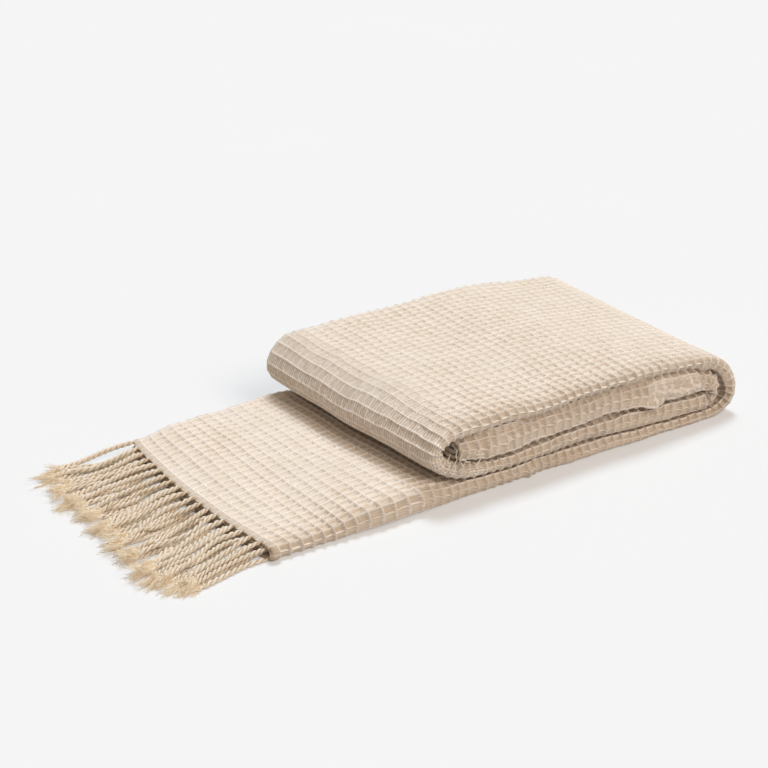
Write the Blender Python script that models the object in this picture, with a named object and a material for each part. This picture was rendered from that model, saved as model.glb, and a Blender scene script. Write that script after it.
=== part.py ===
"""Waffle cotton throw, folded in four across its width and then back and forth along its length.

Two closed bodies: the folded cloth, and the fringe on the narrow hem strip it grows from.
X runs along the fold, from the fringe to the rounded end, Y across it, and Z is up from the floor.
The tables below measure X from the hem edge. The finished part is centred over the origin.
"""
import math

import bmesh
import bpy
import numpy as np

COLLECTION_NAME = "folded_throw"
CUTTER_NAME = "folded_throw_cutters"

# Folded width and the cloth itself
WIDTH = 0.320
PLY = 0.0038
PLY_SHARE = 0.19
PLIES = 4
LAYER_GAP = 0.0008

# Folds of the plies across the width
OUTER_REACH_MAX = 0.010
NEST_GAP = 0.0040
BACK_SET_IN = 0.0015
SELVEDGE_SET_IN = (0.0030, 0.0060)
OUTER_FOLD_STEPS = 6
INNER_FOLD_STEPS = 4
PLY_SPANS = 5

# Loose end that lies in front of the stack: distance from the hem and height of its upper side
TONGUE = (
    # x, top
    (0.0100, 0.0190),
    (0.0450, 0.0185),
    (0.0750, 0.0195),
    (0.1050, 0.0255),
    (0.1400, 0.0300),
    (0.1800, 0.0300),
    (0.2200, 0.0235),
)

# Upper side of each of the four layers of the stack, bottom layer first
STACK = (
    # x, bottom, lower_arm, upper_arm, top
    (0.2560, 0.0210, 0.0410, 0.0750, 0.0935),
    (0.2850, 0.0195, 0.0365, 0.0765, 0.0945),
    (0.3250, 0.0195, 0.0375, 0.0765, 0.0940),
    (0.3650, 0.0205, 0.0410, 0.0765, 0.0935),
    (0.4100, 0.0205, 0.0425, 0.0775, 0.0945),
    (0.4500, 0.0205, 0.0430, 0.0785, 0.0950),
    (0.4900, 0.0165, 0.0425, 0.0785, 0.0955),
    (0.5300, 0.0135, 0.0400, 0.0780, 0.0940),
    (0.5650, 0.0115, 0.0380, 0.0750, 0.0910),
    (0.5950, 0.0110, 0.0360, 0.0705, 0.0870),
)

# Bends at the ends of the layers: where each one starts and ends and how far it swells
RIGHT_BEND_START = 0.622
RIGHT_BEND_REACH = 0.047
RIGHT_BEND_DEPTH = 0.0165
LEFT_BEND_REACH = 0.0455
LEFT_BEND_LEAN = 0.028
LEFT_BEND_DEPTH = 0.0175
HAIRPIN_X = 0.6140
HAIRPIN_TOP = 0.0640
HAIRPIN_REACH = 0.0140
HAIRPIN_DEPTH = 0.0240
BEND_STEPS = 12
HAIRPIN_STEPS = 10

# Hidden inner end of the cloth, inside the left fold
INNER_END_X = 0.2280
INNER_END_LOWER = 0.0465
INNER_END_UPPER = 0.0725

# How the stack settles: crown across the width and skew of the left fold
CROWN = 0.090
CROWN_RUN = 0.150
CROWN_START_X = 0.155
CROWN_FULL_X = 0.215
CROWN_FADE_X = 0.420
CROWN_END_X = 0.570
TONGUE_FALL = 0.080
TONGUE_SWELL = 0.450
SWELL_START_X = 0.010
SWELL_TOP_X = 0.055
SWELL_END_X = 0.125
SKEW = 0.021
SKEW_START_X = 0.100
SKEW_FULL_X = 0.190
SKEW_FADE_X = 0.260
SKEW_END_X = 0.480

# Hem strip and fringe
STRIP_GAP = 0.0003
FIRST_STRAND_Y = -0.1475
STRAND_PITCH = 0.0160
STRANDS_PER_PLY = 19
STRAND_SIDE = 0.0044
STRAND_SPACE = 0.0005
STRAND_STEPS = 7
DROOP_SHARE = 0.45
GATHER = 0.34
LENGTH_SPREAD = 0.006
WANDER = 0.0030
WANDER_TURNS = 5.0
WANDER_SPREAD = 9.0
LENGTH_TURN = (2.3, 1.7)
TIP_SHARE = 0.75
PLY_STRAND_OFFSET = (0, 2, 1, 3)

# Tips lie in loose bunches: middle of the roots, middle of the tips and distance out from the hem
BUNCHES = (
    # root_y, tip_y, reach
    (0.1400, 0.1500, 0.121),
    (0.1095, 0.1120, 0.126),
    (0.0790, 0.0780, 0.130),
    (0.0485, 0.0430, 0.124),
    (0.0180, 0.0060, 0.128),
    (-0.0125, -0.0300, 0.131),
    (-0.0430, -0.0640, 0.134),
    (-0.0735, -0.0960, 0.138),
    (-0.1040, -0.1240, 0.137),
    (-0.1345, -0.1530, 0.113),
)

CLOTH_COLOUR = (0.66, 0.55, 0.42, 1.0)
FRINGE_COLOUR = (0.62, 0.50, 0.36, 1.0)
COTTON_ROUGHNESS = 0.92


def smooth_step(value, start, end):
    """Ease from 0 at start to 1 at end."""
    share = min(max((value - start) / (end - start), 0.0), 1.0)
    return share * share * (3.0 - 2.0 * share)


def ply_size(depth):
    """Thickness of one ply in a layer of the given depth."""
    return min(PLY, depth * PLY_SHARE)


def ply_levels(depth):
    """Height of the middle of each ply above the middle of the layer."""
    span = depth - ply_size(depth)
    return [span * (index / (PLIES - 1) - 0.5) for index in range(PLIES)]


def fold_points(turn_y, reach, start, end, side, steps):
    """Half turn from one level to another, swelling by reach towards side."""
    middle = (start + end) / 2.0
    half = (end - start) / 2.0
    points = []
    for step in range(steps + 1):
        angle = math.pi * step / steps
        points.append((turn_y + side * reach * math.sin(angle), middle - half * math.cos(angle)))
    return points


def ply_points(places, level):
    """Points of a flat ply at the given places across the width."""
    return [(place, level) for place in places]


def ribbon_centre(depth, places_for):
    """Middle line of the cloth in one cross section, from the top selvedge to the inner one.

    places_for(ply, start, end) gives the places between the two ends of a flat ply.
    """
    ply = ply_size(depth)
    levels = ply_levels(depth)
    near = -WIDTH / 2.0 + ply / 2.0
    back = WIDTH / 2.0 - BACK_SET_IN - ply / 2.0
    outer_reach = min((levels[3] - levels[0]) / 2.0, OUTER_REACH_MAX)
    inner_reach = (levels[2] - levels[1]) / 2.0
    outer_y = near + outer_reach
    inner_y = near + ply + NEST_GAP + inner_reach
    back_y = back - inner_reach
    top_end = WIDTH / 2.0 - SELVEDGE_SET_IN[0]
    under_end = WIDTH / 2.0 - SELVEDGE_SET_IN[1]
    points = [(top_end, levels[3])]
    points += ply_points(places_for(3, top_end, outer_y), levels[3])
    points += fold_points(outer_y, outer_reach, levels[3], levels[0], -1.0, OUTER_FOLD_STEPS)
    points += ply_points(places_for(0, outer_y, back_y), levels[0])
    points += fold_points(back_y, inner_reach, levels[0], levels[1], 1.0, INNER_FOLD_STEPS)
    points += ply_points(places_for(1, back_y, inner_y), levels[1])
    points += fold_points(inner_y, inner_reach, levels[1], levels[2], -1.0, INNER_FOLD_STEPS)
    points += ply_points(places_for(2, inner_y, under_end), levels[2])
    points.append((under_end, levels[2]))
    return np.array(points)


def even_places(ply, start, end):
    """Evenly spaced places between the ends of a flat ply."""
    return [start + (end - start) * step / PLY_SPANS for step in range(1, PLY_SPANS)]


def strand_centres(ply):
    """Places across the width where the strands of one ply leave the hem."""
    offset = PLY_STRAND_OFFSET[ply] * STRAND_PITCH / PLIES
    return [FIRST_STRAND_Y + offset + STRAND_PITCH * index for index in range(STRANDS_PER_PLY)]


def strand_places(ply, start, end):
    """Places of both edges of every strand along a flat ply."""
    places = []
    for centre in strand_centres(ply):
        places += [centre - STRAND_SIDE / 2.0, centre + STRAND_SIDE / 2.0]
    return places if end > start else places[::-1]


def ribbon_sides(centre, ply):
    """Both sides of the cloth, half a ply away from its middle line."""
    along = np.gradient(centre, axis=0)
    along /= np.linalg.norm(along, axis=1)[:, None]
    across = np.column_stack((-along[:, 1], along[:, 0]))
    return centre + across * ply / 2.0, centre - across * ply / 2.0


def bend_stations(start, end, reach, middle_depth, steps):
    """Stations round a bend between two stations that swells by reach along X."""
    stations = []
    for step in range(1, steps):
        angle = math.pi * step / steps
        share = (1.0 - math.cos(angle)) / 2.0
        depth = np.interp(share, (0.0, 0.5, 1.0), (start[2], middle_depth, end[2]))
        run = end[0] - start[0]
        rise = end[1] - start[1]
        x = start[0] + run * share + reach * math.sin(angle)
        z = start[1] + rise * share
        along_x = run * math.sin(angle) / 2.0 + reach * math.cos(angle)
        along_z = rise * math.sin(angle) / 2.0
        stations.append((x, z, depth, along_x, along_z))
    return stations


def level_station(x, lower, upper, heading):
    """Station of a layer that runs level from its lower to its upper height."""
    return (x, (upper + lower) / 2.0, upper - lower, heading, 0.0)


def arm_stations(column, heading):
    """Stations of one layer of the stack, from left to right."""
    stations = []
    for row in STACK:
        lower = 0.0 if column == 1 else row[column - 1] + LAYER_GAP
        stations.append(level_station(row[0], lower, row[column], heading))
    return stations


def folded_path():
    """Stations of the whole length of cloth, from the hem to its hidden inner end.

    Each is (x, middle height, depth, heading along x, heading along z).
    """
    bottom = arm_stations(1, 1.0)
    lower_arm = arm_stations(2, 1.0)
    upper_arm = arm_stations(3, -1.0)
    top = arm_stations(4, -1.0)
    bottom_top = STACK[-1][1]
    lower_top = STACK[-1][2]
    right_start = level_station(RIGHT_BEND_START, 0.0, bottom_top, 1.0)
    left_start = (top[0][0] - LEFT_BEND_LEAN,) + top[0][1:]
    hairpin_start = level_station(HAIRPIN_X, bottom_top + LAYER_GAP, lower_top, 1.0)
    hairpin_end = level_station(HAIRPIN_X, lower_top + LAYER_GAP, HAIRPIN_TOP, -1.0)
    stations = [level_station(x, 0.0, height, 1.0) for x, height in TONGUE]
    stations += bottom + [right_start]
    stations += bend_stations(right_start, top[-1], RIGHT_BEND_REACH, RIGHT_BEND_DEPTH, BEND_STEPS)
    stations += top[::-1] + [left_start]
    stations += bend_stations(left_start, lower_arm[0], -LEFT_BEND_REACH, LEFT_BEND_DEPTH, BEND_STEPS)
    stations += lower_arm + [hairpin_start]
    stations += bend_stations(hairpin_start, hairpin_end, HAIRPIN_REACH, HAIRPIN_DEPTH, HAIRPIN_STEPS)
    stations += [hairpin_end] + upper_arm[::-1]
    stations.append(level_station(INNER_END_X, INNER_END_LOWER, INNER_END_UPPER, -1.0))
    return stations


def settle(point):
    """Shift a point of the straight stack to where the settled cloth lies."""
    x, y, z = point
    across = (y + WIDTH / 2.0) / CROWN_RUN
    crown = CROWN * smooth_step(across, 0.0, 1.0) * smooth_step(x, CROWN_START_X, CROWN_FULL_X)
    crown *= 1.0 - smooth_step(x, CROWN_FADE_X, CROWN_END_X)
    fall = TONGUE_FALL * smooth_step(y, -WIDTH / 2.0, WIDTH / 2.0)
    fall *= 1.0 - smooth_step(x, CROWN_START_X, CROWN_FULL_X)
    swell = TONGUE_SWELL * smooth_step(y, -WIDTH / 2.0, WIDTH / 2.0)
    swell *= smooth_step(x, SWELL_START_X, SWELL_TOP_X) * (1.0 - smooth_step(x, SWELL_TOP_X, SWELL_END_X))
    nearness = (WIDTH / 2.0 - y) / WIDTH
    skew = SKEW * nearness * nearness
    skew *= smooth_step(x, SKEW_START_X, SKEW_FULL_X) * (1.0 - smooth_step(x, SKEW_FADE_X, SKEW_END_X))
    return (x + skew, y, z * (1.0 + crown - fall + swell))


def swept_rings(path, places_for):
    """Closed ring of points round the cloth at every station of the path."""
    rings = []
    for x, z, depth, along_x, along_z in path:
        length = math.hypot(along_x, along_z)
        centre = ribbon_centre(depth, places_for)
        left, right = ribbon_sides(centre, ply_size(depth))
        ring = []
        for across, raised in np.vstack((left, right[::-1])):
            lift = raised / length
            ring.append(settle((x - along_z * lift, across, z + along_x * lift)))
        rings.append(ring)
    return rings


def cap_quads(ring, flip):
    """Close one end of a ribbon ring with a quad between each pair of steps along it."""
    half = len(ring) // 2
    quads = []
    for index in range(half - 1):
        quad = [ring[index], ring[index + 1], ring[-2 - index], ring[-1 - index]]
        quads.append(quad[::-1] if flip else quad)
    return quads


def ribbon_mesh(rings):
    """Loft rings into one closed mesh and return it with the quads of its first end."""
    mesh = bmesh.new()
    loops = [[mesh.verts.new(point) for point in ring] for ring in rings]
    for first, second in zip(loops, loops[1:]):
        count = len(first)
        for index in range(count):
            follow = (index + 1) % count
            mesh.faces.new((first[index], first[follow], second[follow], second[index]))
    start = [mesh.faces.new(quad) for quad in cap_quads(loops[0], True)]
    for quad in cap_quads(loops[-1], False):
        mesh.faces.new(quad)
    return mesh, start


def nearest_bunch(place):
    """Bunch of tips that a strand rooted at this place joins."""
    return min(BUNCHES, key=lambda bunch: abs(bunch[0] - place))


def strand_point(root, ply, index, share):
    """Middle of a strand, share of the way from its root to its tip."""
    bunch_y, tip_y, reach = nearest_bunch(root[1])
    length = reach + LENGTH_SPREAD * math.sin(LENGTH_TURN[0] * index + LENGTH_TURN[1] * ply)
    rest = STRAND_SIDE / 2.0
    if ply >= 2:
        rest += STRAND_SIDE + STRAND_SPACE
    height = rest + max(root[2] - rest, 0.0) * (1.0 - smooth_step(share, 0.0, DROOP_SHARE))
    tip = tip_y + (1.0 - GATHER) * (root[1] - bunch_y)
    y = root[1] + (tip - root[1]) * smooth_step(share, 0.0, 1.0)
    y += WANDER * math.sin(WANDER_TURNS * share) * math.sin(WANDER_SPREAD * bunch_y)
    return (root[0] - length * share, y, height)


def grow_strand(mesh, face, ply, index):
    """Grow one four-sided strand out of its quad on the end of the hem strip."""
    base = [vertex.co.copy() for vertex in face.verts]
    root = sum(base[1:], base[0].copy()) / len(base)
    signs = [(math.copysign(1.0, co.y - root.y), math.copysign(1.0, co.z - root.z)) for co in base]
    loop = list(face.verts)
    mesh.faces.remove(face)
    for step in range(1, STRAND_STEPS + 1):
        share = step / STRAND_STEPS
        middle = strand_point(root, ply, index, share)
        half = STRAND_SIDE / 2.0
        width = half * TIP_SHARE if step == STRAND_STEPS else half
        ring = []
        for sign_y, sign_z in signs:
            ring.append(mesh.verts.new((middle[0], middle[1] + sign_y * width, middle[2] + sign_z * half)))
        for corner in range(4):
            follow = (corner + 1) % 4
            mesh.faces.new((loop[corner], loop[follow], ring[follow], ring[corner]))
        loop = ring
    mesh.faces.new(loop)


def ply_of_face(face):
    """Ply that an end quad of the hem strip belongs to, and the strand it carries, or None."""
    depth = TONGUE[0][1]
    middle = face.calc_center_median()
    for ply, level in enumerate(ply_levels(depth)):
        for index, centre in enumerate(strand_centres(ply)):
            flat = (0.0, centre, depth / 2.0 + level)
            place = settle(flat)
            near_y = abs(place[1] - middle.y) < STRAND_SPACE
            near_z = abs(place[2] - middle.z) < PLY / 2.0
            if near_y and near_z:
                return ply, index
    return None


def blanket_mesh():
    """Folded cloth from the hem line to its inner end."""
    mesh, _ = ribbon_mesh(swept_rings(folded_path(), even_places))
    return mesh


def fringe_mesh():
    """Hem strip with a strand on every strand place of its four plies."""
    start_x, top = TONGUE[0]
    path = [level_station(x, 0.0, top, 1.0) for x in (0.0, start_x - STRIP_GAP)]
    mesh, end_faces = ribbon_mesh(swept_rings(path, strand_places))
    carriers = [(face, ply_of_face(face)) for face in end_faces]
    for face, carried in carriers:
        if carried is not None:
            grow_strand(mesh, face, carried[0], carried[1])
    return mesh


def cotton(name, colour):
    """Plain matt cotton material."""
    material = bpy.data.materials.new(name)
    material.use_nodes = True
    shader = material.node_tree.nodes["Principled BSDF"]
    shader.inputs["Base Color"].default_value = colour
    shader.inputs["Roughness"].default_value = COTTON_ROUGHNESS
    shader.inputs["Metallic"].default_value = 0.0
    return material


def add_object(collection, name, mesh, material):
    """Make a named object of a finished mesh."""
    bmesh.ops.recalc_face_normals(mesh, faces=mesh.faces)
    data = bpy.data.meshes.new(name)
    mesh.to_mesh(data)
    mesh.free()
    data.materials.append(material)
    made = bpy.data.objects.new(name, data)
    collection.objects.link(made)
    return made


def centre_over_origin(parts):
    """Shift every part so that the whole is centred over the origin and stands on z = 0."""
    corners = np.array([vertex.co[:] for part in parts for vertex in part.data.vertices])
    low = corners.min(axis=0)
    high = corners.max(axis=0)
    shift = np.array([(low[0] + high[0]) / 2.0, (low[1] + high[1]) / 2.0, low[2]])
    for part in parts:
        for vertex in part.data.vertices:
            vertex.co = np.array(vertex.co[:]) - shift


def main():
    """Build the throw in an emptied scene."""
    for existing in list(bpy.data.objects):
        bpy.data.objects.remove(existing, do_unlink=True)
    collection = bpy.data.collections.new(COLLECTION_NAME)
    bpy.context.scene.collection.children.link(collection)
    cutters = bpy.data.collections.new(CUTTER_NAME)
    bpy.context.scene.collection.children.link(cutters)
    blanket = add_object(collection, "blanket", blanket_mesh(), cotton("cotton_waffle", CLOTH_COLOUR))
    fringe = add_object(collection, "fringe", fringe_mesh(), cotton("cotton_fringe", FRINGE_COLOUR))
    centre_over_origin([blanket, fringe])


main()
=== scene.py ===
"""Looks of a folded waffle throw with a twisted fringe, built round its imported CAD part.

The cloth is one length folded in four across its width and laid back and forth along its length.
s is the distance from the hem along the cloth. w is the distance from the near fold line across it.
Lengths are in metres. X is measured from the hem edge until a point is placed in the row frame.
"""
import math

import bpy
import numpy as np
from mathutils import Matrix, Vector


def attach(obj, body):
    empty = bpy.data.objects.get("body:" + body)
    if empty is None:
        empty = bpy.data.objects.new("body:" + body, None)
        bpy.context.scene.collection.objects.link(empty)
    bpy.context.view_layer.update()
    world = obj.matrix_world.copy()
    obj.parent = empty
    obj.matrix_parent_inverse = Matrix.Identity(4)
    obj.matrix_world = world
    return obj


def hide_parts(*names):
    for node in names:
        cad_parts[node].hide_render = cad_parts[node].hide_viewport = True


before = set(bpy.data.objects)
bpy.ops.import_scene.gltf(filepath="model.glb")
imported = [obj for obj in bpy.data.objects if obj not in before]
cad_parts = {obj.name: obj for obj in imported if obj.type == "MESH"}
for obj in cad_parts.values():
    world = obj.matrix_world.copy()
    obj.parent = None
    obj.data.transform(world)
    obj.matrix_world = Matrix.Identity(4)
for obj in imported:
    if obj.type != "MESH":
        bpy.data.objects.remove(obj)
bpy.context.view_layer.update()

HEM_X = -0.2605
HEM_Y = -0.0001

# Sizes shared with the CAD part
WIDTH = 0.320
PLY = 0.0038
PLY_SHARE = 0.19
LAYER_GAP = 0.0008
OUTER_REACH_MAX = 0.010
TONGUE = (
    # x, top
    (0.0000, 0.0190),
    (0.0100, 0.0190),
    (0.0450, 0.0185),
    (0.0750, 0.0195),
    (0.1050, 0.0255),
    (0.1400, 0.0300),
    (0.1800, 0.0300),
    (0.2200, 0.0235),
)
STACK = (
    # x, bottom, lower_arm, upper_arm, top
    (0.2560, 0.0210, 0.0410, 0.0750, 0.0935),
    (0.2850, 0.0195, 0.0365, 0.0765, 0.0945),
    (0.3250, 0.0195, 0.0375, 0.0765, 0.0940),
    (0.3650, 0.0205, 0.0410, 0.0765, 0.0935),
    (0.4100, 0.0205, 0.0425, 0.0775, 0.0945),
    (0.4500, 0.0205, 0.0430, 0.0785, 0.0950),
    (0.4900, 0.0165, 0.0425, 0.0785, 0.0955),
    (0.5300, 0.0135, 0.0400, 0.0780, 0.0940),
    (0.5650, 0.0115, 0.0380, 0.0750, 0.0910),
    (0.5950, 0.0110, 0.0360, 0.0705, 0.0870),
)
RIGHT_BEND_START = 0.622
RIGHT_BEND_REACH = 0.047
RIGHT_BEND_DEPTH = 0.0165
LEFT_BEND_REACH = 0.0455
LEFT_BEND_LEAN = 0.028
LEFT_BEND_DEPTH = 0.0175
HAIRPIN_X = 0.6140
HAIRPIN_TOP = 0.0640
HAIRPIN_REACH = 0.0140
HAIRPIN_DEPTH = 0.0240
BEND_STEPS = 12
HAIRPIN_STEPS = 10
INNER_END_X = 0.2280
INNER_END_LOWER = 0.0465
INNER_END_UPPER = 0.0725
CROWN = 0.090
CROWN_RUN = 0.150
CROWN_X = (0.155, 0.215, 0.420, 0.570)
TONGUE_FALL = 0.080
TONGUE_SWELL = 0.450
SWELL_X = (0.010, 0.055, 0.055, 0.125)
SKEW = 0.021
SKEW_X = (0.100, 0.190, 0.260, 0.480)
FIRST_STRAND_Y = -0.1475
STRAND_PITCH = 0.0160
STRANDS_PER_PLY = 19
PLY_STRAND_OFFSET = (0, 2, 1, 3)
BUNCHES = (
    # root_y, tip_y, reach
    (0.1400, 0.1500, 0.121),
    (0.1095, 0.1120, 0.126),
    (0.0790, 0.0780, 0.130),
    (0.0485, 0.0430, 0.124),
    (0.0180, 0.0060, 0.128),
    (-0.0125, -0.0300, 0.131),
    (-0.0430, -0.0640, 0.134),
    (-0.0735, -0.0960, 0.138),
    (-0.1040, -0.1240, 0.137),
    (-0.1345, -0.1530, 0.113),
)

# Where the flat plies and folds lie across the cloth, from the near fold line
TOP_SELVEDGE = -0.3190
BACK_FOLD = 0.3175
BACK_TURN = 0.0075
INNER_RUN = 0.2940
INNER_FOLD = BACK_FOLD + BACK_TURN + INNER_RUN
UNDER_SELVEDGE = INNER_FOLD + BACK_TURN + 0.2900

# Waffle cells
LATTICE = 256
HEM_BAND = 0.0100
CELL_TURN = 0.030
CELL_SIZES = (
    # stretch, first and last size of a cell along the cloth
    (0, 0.01395, 0.0128),
    (1, 0.0128, 0.0135),
    (2, 0.0135, 0.0135),
    (3, 0.0137, 0.0136),
    (4, 0.0122, 0.0122),
    (5, 0.0130, 0.0135),
    (6, 0.0135, 0.0135),
    (7, 0.0135, 0.0135),
)
CELL_W = 0.01085

# Relief of the waffle, and where it is deeper or shallower
RELIEF = 0.0046
PROUD = 0.00035
UNDER_SHARE = 0.12
NEAR_LOW = 0.0024
NEAR_LOW_RUN = 0.016
LEAST_PLY = 0.0003
EDGE_SLACK = 0.38
EDGE_SLACK_RUN = 0.013
LIP_SMOOTH = 0.62
LIP_START = 0.005
LIP_END = 0.016
HEM_THIN = 0.65
HEM_THIN_RUN = 0.0035
SCALLOP = 0.0016
SCALLOP_RUN = 0.0100
FLOOR_CLEARANCE = 0.0002
FIRM_FAR = 0.68
FIRM_NEAR = 1.55
FIRM_BACK = 0.50
FIRM_BACK_RUN = 0.020
FIRM_RUN = 0.045
RIDGE_WIDTH_U = 0.20
RIDGE_WIDTH_V = 0.21
RIDGE_SHARP = 0.56
RIDGE_SOFT = 0.44
CELL_LEVELS = (0.82, 1.12)
RIDGE_LEVELS_U = (0.90, 1.0)
RIDGE_LEVELS_V = (0.84, 1.0)
PULLED_LESS = 0.38
PULLED_LESS_V = 0.6
PRESSED_LESS = 0.88
GATHERED_LESS = 0.85
CRUMPLED_MORE = 0.25
CRUMPLED_PUFF = 0.3

# Hem bowed out towards the fringe
HEM_BOW = 0.0120
HEM_BOW_RUN = 0.110

# Unevenness of the cloth: amount, sizes of the lumps both ways and seed of smooth random fields
WANDER_S = ((0.0007, 0.070, 0.060, 11), (0.0004, 0.012, 0.014, 12))
WANDER_W = ((0.0010, 0.040, 0.060, 13), (0.0005, 0.014, 0.012, 14))
WANDER_HEM = ((0.0012, 0.050, 1.0, 15),)
WANDER_EDGE = ((0.0022, 0.050, 1.0, 16), (0.0008, 0.016, 1.0, 17))
WANDER_HEIGHT = ((0.012, 0.060, 0.050, 18), (0.008, 0.022, 0.020, 19))
WANDER_X = ((0.0012, 0.070, 0.040, 20),)
WANDER_FIRM = ((0.20, 0.075, 0.060, 21),)
CRUMPLE_S = ((0.0022, 0.019, 0.013, 22),)
CRUMPLE_W = ((0.0022, 0.015, 0.018, 23),)
CRUMPLE_DEPTH = 0.00066
CRUMPLE_LUMPS = ((CRUMPLE_DEPTH, 0.017, 0.012, 24),)
EDGE_RUN = 0.030
CREASE_REACH = 0.03

# Where points lie in each cell, as shares of the cell
FINE = (0.0, 0.045, 0.11, 0.24, 0.50, 0.76, 0.89, 0.955)
MEDIUM = (0.0, 0.20, 0.50, 0.80)
COARSE_STEP = 0.030
LEAST_STEP = 0.0004
ROW_MARGIN = 0.0012

SEED = 7


def ease(value, start, end):
    """Ease from 0 at start to 1 at end."""
    share = np.clip((value - start) / (end - start), 0.0, 1.0)
    return share * share * (3.0 - 2.0 * share)


def rise_and_fall(value, start, full, fade, end):
    """Ease from 0 at start to 1 at full, and from 1 at fade to 0 at end."""
    return ease(value, start, full) * (1.0 - ease(value, fade, end))


def field(a, b, size_a, size_b, seed):
    """Smooth random field from -1 to 1 over two lengths, with lumps of the given sizes."""
    rng = np.random.default_rng(seed)
    grid = rng.uniform(-1.0, 1.0, (LATTICE + 1, LATTICE + 1))
    a, b = np.broadcast_arrays(np.asarray(a) / size_a + 40.0, np.asarray(b) / size_b + 40.0)
    i, j = np.floor(a).astype(int), np.floor(b).astype(int)
    u, v = a - i, b - j
    u, v = u * u * (3 - 2 * u), v * v * (3 - 2 * v)
    i, j = i % LATTICE, j % LATTICE
    low = grid[i, j] * (1 - u) + grid[i + 1, j] * u
    high = grid[i, j + 1] * (1 - u) + grid[i + 1, j + 1] * u
    return low * (1 - v) + high * v


def waves(table, a, b):
    """Sum of the smooth random fields in the rows of a table."""
    return sum(amount * field(a, b, size_a, size_b, seed) for amount, size_a, size_b, seed in table)


def arm(column):
    """Stations (x, middle height, depth) of one layer of the stack, from left to right."""
    rows = []
    for row in STACK:
        lower = 0.0 if column == 1 else row[column - 1] + LAYER_GAP
        rows.append((row[0], (row[column] + lower) / 2.0, row[column] - lower))
    return rows


def bend(start, end, reach, depth, steps):
    """Stations round a bend that swells by reach along X."""
    rows = []
    for step in range(1, steps):
        angle = math.pi * step / steps
        share = (1.0 - math.cos(angle)) / 2.0
        rows.append((
            start[0] + (end[0] - start[0]) * share + reach * math.sin(angle),
            start[1] + (end[1] - start[1]) * share,
            np.interp(share, (0.0, 0.5, 1.0), (start[2], depth, end[2])),
        ))
    return rows


def folded_path():
    """Stations of the whole length of cloth and the index of the first one of each stretch."""
    bottom, lower_arm, upper_arm, top = arm(1), arm(2), arm(3), arm(4)
    bottom_top, lower_top = STACK[-1][1], STACK[-1][2]
    right_start = (RIGHT_BEND_START, bottom_top / 2.0, bottom_top)
    left_start = (top[0][0] - LEFT_BEND_LEAN, top[0][1], top[0][2])
    hairpin_start = (HAIRPIN_X, lower_arm[-1][1], lower_arm[-1][2])
    hairpin_lower = lower_top + LAYER_GAP
    hairpin_end = (HAIRPIN_X, (HAIRPIN_TOP + hairpin_lower) / 2.0, HAIRPIN_TOP - hairpin_lower)
    inner_end = (INNER_END_X, (INNER_END_LOWER + INNER_END_UPPER) / 2.0, INNER_END_UPPER - INNER_END_LOWER)
    stretches = [
        [(x, height / 2.0, height) for x, height in TONGUE],
        bottom + [right_start],
        bend(right_start, top[-1], RIGHT_BEND_REACH, RIGHT_BEND_DEPTH, BEND_STEPS),
        top[::-1] + [left_start],
        bend(left_start, lower_arm[0], -LEFT_BEND_REACH, LEFT_BEND_DEPTH, BEND_STEPS),
        lower_arm + [hairpin_start],
        bend(hairpin_start, hairpin_end, HAIRPIN_REACH, HAIRPIN_DEPTH, HAIRPIN_STEPS),
        [hairpin_end] + upper_arm[::-1] + [inner_end],
    ]
    starts = np.cumsum([0] + [len(stretch) for stretch in stretches[:-1]])
    return np.array([row for stretch in stretches for row in stretch]), starts


PATH, STRETCH_STARTS = folded_path()
ALONG = np.concatenate(([0.0], np.cumsum(np.hypot(*np.diff(PATH[:, :2], axis=0).T))))
SLOPES = np.gradient(PATH, ALONG, axis=0)
LENGTH = float(ALONG[-1])


def cubic(u, gap, first, last, first_slope, last_slope):
    """Cubic at share u of a gap, from its values and slopes at both ends."""
    value = (1 + 2 * u) * (1 - u) ** 2 * first + u * u * (3 - 2 * u) * last
    return value + gap * (u * (1 - u) ** 2 * first_slope + u * u * (u - 1) * last_slope)


def path_at(s):
    """Smooth curve through the stations: x, height and depth at every s."""
    inside = np.clip(s, 0.0, LENGTH)
    beyond = s - inside
    i = np.clip(np.searchsorted(ALONG, inside, side="right") - 1, 0, len(ALONG) - 2)
    step = ALONG[i + 1] - ALONG[i]
    u = (inside - ALONG[i]) / step
    out = []
    for k in range(3):
        value = cubic(u, step, PATH[i, k], PATH[i + 1, k], SLOPES[i, k], SLOPES[i + 1, k])
        out.append(value + beyond * np.where(beyond < 0.0, SLOPES[0, k], SLOPES[-1, k]))
    return out


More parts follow.
